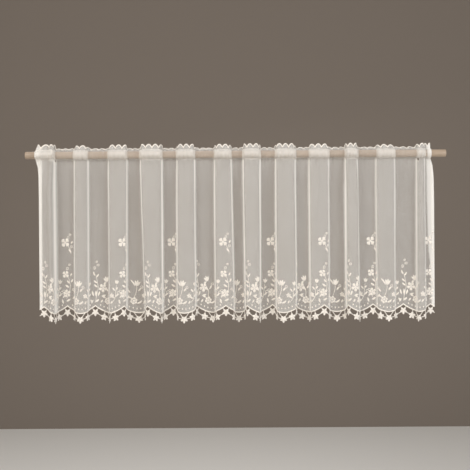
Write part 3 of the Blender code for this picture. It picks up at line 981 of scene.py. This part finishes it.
def build_rod(material):
    """The dowel, turned round with slightly eased ends."""
    ease, sides = 0.0012, 64
    corner = (ease * 0.3, ROD_RADIUS - ease * 0.3)
    profile = [(0.0, 0.0), (0.0, ROD_RADIUS - ease), corner, (ease, ROD_RADIUS)]
    stations = profile + [(x, ROD_RADIUS) for x in np.linspace(0.02, ROD_LENGTH - 0.02, 40)]
    stations += [(ROD_LENGTH - x, r) for x, r in profile[::-1]]
    points, uv = [], []
    for x, r in stations:
        for turn in range(sides):
            angle = math.tau * turn / sides
            points.append((x, max(r, 0.0002) * math.sin(angle), max(r, 0.0002) * math.cos(angle)))
            uv.append((x, ROD_RADIUS * angle))
    faces = []
    for i in range(len(stations) - 1):
        for turn in range(sides):
            after = (turn + 1) % sides
            a, b = i * sides, (i + 1) * sides
            faces.append((a + turn, b + turn, b + after, a + after))
    faces.append(tuple(range(sides)))
    last = (len(stations) - 1) * sides
    faces.append(tuple(last + turn for turn in reversed(range(sides))))
    rod = add_mesh("rod_dowel", points, faces, uv, material)
    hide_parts("rod")
    return rod


# Stage

CAMERA_DISTANCE = 2.2
CAMERA_MIDDLE = (0.5125, -0.1976)  # x and z
CAMERA_ROLL = math.radians(0.35)
FRAME_WIDTH = 1.152
LIGHTS_AIM = (0.5, 0.0, -0.2)
# name, place, width and height, power, colour
LIGHTS = (
    ("key", (-1.6, -2.6, 1.5), (1.6, 1.6), 104, (1.0, 0.97, 0.93)),
    ("fill", (2.8, -2.2, 0.5), (1.8, 1.8), 74, (0.96, 0.98, 1.0)),
    ("top", (0.5, -0.4, 2.4), (2.2, 1.2), 22, (1.0, 0.99, 0.97)),
    ("behind", (0.2, 2.4, 1.7), (2.0, 1.2), 30, (1.0, 1.0, 1.0)),
)


def build_camera():
    data = bpy.data.cameras.new("camera")
    data.sensor_width = 36.0
    data.lens = data.sensor_width * CAMERA_DISTANCE / FRAME_WIDTH
    camera = bpy.data.objects.new("camera", data)
    bpy.context.scene.collection.objects.link(camera)
    camera.location = (CAMERA_MIDDLE[0], -CAMERA_DISTANCE, CAMERA_MIDDLE[1])
    roll = Matrix.Rotation(CAMERA_ROLL, 4, "Y")
    camera.rotation_euler = (roll @ Matrix.Rotation(math.radians(90), 4, "X")).to_euler()
    bpy.context.scene.camera = camera


def add_plane(name, size, location, rotation, material):
    data = bpy.data.meshes.new(name)
    half_x, half_y = size[0] / 2, size[1] / 2
    corners = [(-half_x, -half_y, 0), (half_x, -half_y, 0), (half_x, half_y, 0), (-half_x, half_y, 0)]
    data.from_pydata(corners, [], [(0, 1, 2, 3)])
    data.materials.append(material)
    made = bpy.data.objects.new(name, data)
    made.location, made.rotation_euler = location, rotation
    bpy.context.scene.collection.objects.link(made)


def add_light(name, location, size, power, colour):
    data = bpy.data.lights.new(name, "AREA")
    data.shape, data.size, data.size_y = "RECTANGLE", size[0], size[1]
    data.energy, data.color = power, colour
    made = bpy.data.objects.new(name, data)
    made.location = location
    made.rotation_euler = (Vector(LIGHTS_AIM) - Vector(location)).to_track_quat("-Z", "Y").to_euler()
    bpy.context.scene.collection.objects.link(made)


def build_stage():
    floor = plain_material("floor", (0.72, 0.70, 0.67), 0.8)
    add_plane("floor", (16, 16), (0.5, 0.0, -1.4), (0, 0, 0), floor)
    wall = plain_material("backdrop", (0.19, 0.158, 0.132), 0.9)
    add_plane("backdrop", (16, 9), (0.5, 3.4, 2.9), (math.radians(90), 0, 0), wall)
    for name, location, size, power, colour in LIGHTS:
        add_light(name, location, size, power, colour)
    bpy.context.scene.view_settings.view_transform = "Standard"
    world = bpy.context.scene.world or bpy.data.worlds.new("world")
    bpy.context.scene.world = world
    world.use_nodes = True
    background = world.node_tree.nodes["Background"]
    background.inputs["Color"].default_value = (0.55, 0.53, 0.50, 1.0)
    background.inputs["Strength"].default_value = 0.62


def main():
    build_camera()
    build_stage()
    net_look = net_material()
    # The fourth values are the threads' painted shade in the grooves between stitches and in the parting
    satin = thread_material("embroidery thread", 0.0005, 0.45, (0.78, 0.72, 0.65, 1.0), 0.7)
    cord_look = thread_material("lace thread", 0.0007, 0.6, (0.76, 0.70, 0.63, 1.0), 0.5)
    rod = build_rod(wood_material())
    net = build_net(net_look)
    back = build_pocket_back(net_look)
    trim = [build_heading_rim(cord_look), build_seams(satin)]
    trim += [build_embroidery(satin), build_edging(cord_look)]


main()
